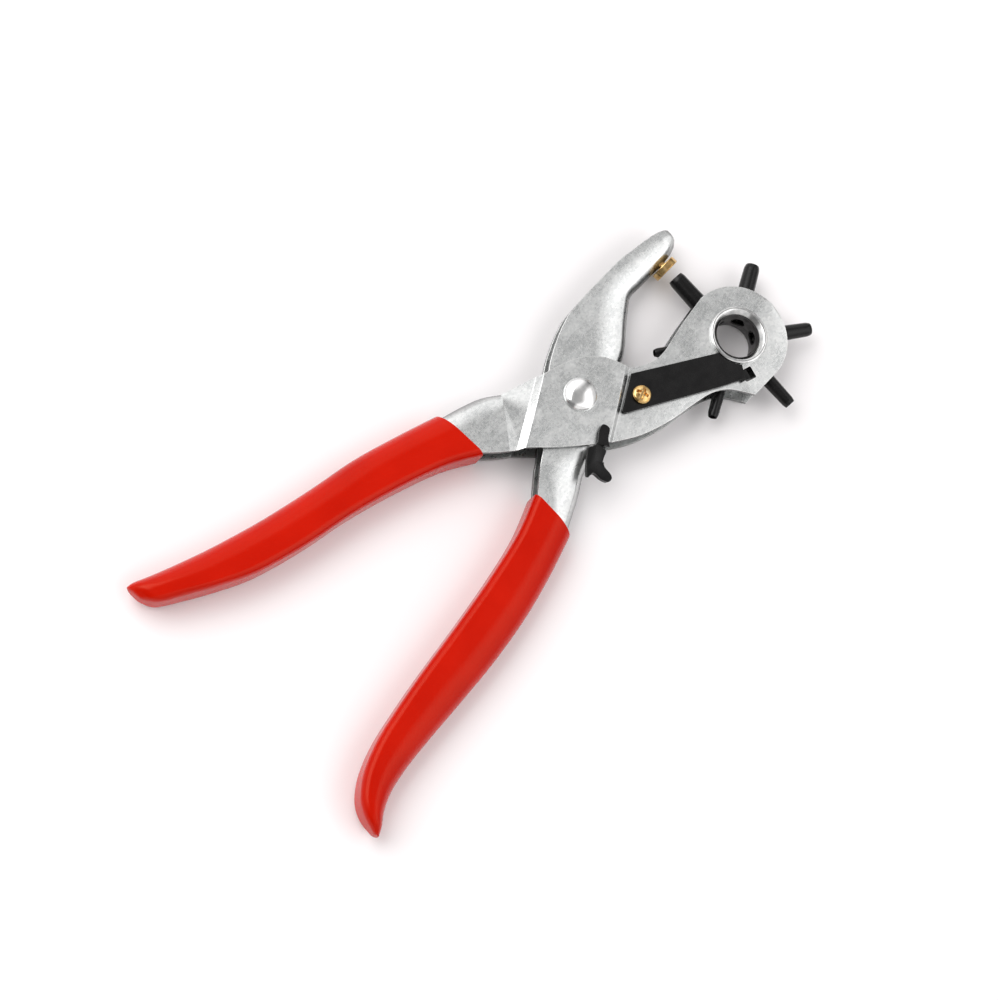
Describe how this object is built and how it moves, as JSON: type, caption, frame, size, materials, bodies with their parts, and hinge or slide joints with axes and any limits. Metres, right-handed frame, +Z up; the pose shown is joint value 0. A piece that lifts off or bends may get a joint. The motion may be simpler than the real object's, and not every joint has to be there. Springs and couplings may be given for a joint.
{
  "type": "rotary hole punch",
  "caption": "Leather hole punch pliers with a revolving wheel of punch tubes, brass anvil, leaf index spring, lock latch and red dipped grips.",
  "frame": {"origin": "on the main pivot's axis, at the flat rear end of the pivot rivet, which lies in the plane the tool rests on", "axes": "+X from the handles to the jaws, +Z up from the resting plane towards the side with the index spring"},
  "size_m": [0.2196, 0.1018, 0.0144],
  "materials": {
    "plated_steel": "zinc plated, satin, rubbed bright along the bends",
    "bright_steel": "bright plated",
    "black_steel": "black oxide, slightly oily",
    "brass": "turned, bright",
    "red_vinyl": "dipped vinyl, glossy"
  },
  "bodies": {
    "punch_side": {"punch_lever": "plated_steel", "punch_lever_grip": "red_vinyl", "pivot_rivet": "bright_steel", "spacer_post": "bright_steel", "index_spring_screw": "brass"},
    "anvil_side": {"anvil_lever": "plated_steel", "anvil_lever_grip": "red_vinyl", "anvil_pad": "brass", "latch_pin": "black_steel"},
    "wheel": {"punch_wheel": "black_steel", "wheel_sleeve": "bright_steel", "punch_tube_1": "black_steel", "punch_tube_2": "black_steel", "punch_tube_3": "black_steel", "punch_tube_4": "black_steel", "punch_tube_5": "black_steel", "punch_tube_6": "black_steel"},
    "index_leaf": {"index_spring": "black_steel"},
    "latch": {"lock_latch": "black_steel"},
    "opening_coil": {"opening_spring": "bright_steel"}
  },
  "joints": [
    {"name": "lever_pivot", "type": "hinge", "parent": "punch_side", "child": "anvil_side", "pos_m": [0, 0, 0.0062], "axis": [0, 0, 1], "range_deg": [-2.8, 9]},
    {"name": "wheel_turn", "type": "hinge", "parent": "punch_side", "child": "wheel", "pos_m": [0.0524, -0.0218, 0.0062], "axis": [0, 0, 1], "continuous": true},
    {"name": "index_leaf_flex", "type": "hinge", "parent": "punch_side", "child": "index_leaf", "pos_m": [0.0142, -0.0132, 0.0119], "axis": [-0.4848, -0.8746, 0], "range_deg": [0, 1.5], "stiffness_Nm_per_rad": 0.5, "springref_deg": -1.15},
    {"name": "latch_swing", "type": "hinge", "parent": "anvil_side", "child": "latch", "pos_m": [-0.0119, -0.0146, 0.0116], "axis": [0, 0, 1], "range_deg": [-40, 0]},
    {"name": "coil_twist", "type": "hinge", "parent": "punch_side", "child": "opening_coil", "pos_m": [0, 0, 0.0062], "axis": [0, 0, 1], "range_deg": [-1.5, 4.6]}
  ],
  "couplings": [
    {"joint": "coil_twist", "follows": "lever_pivot", "ratio": 0.5}
  ]
}
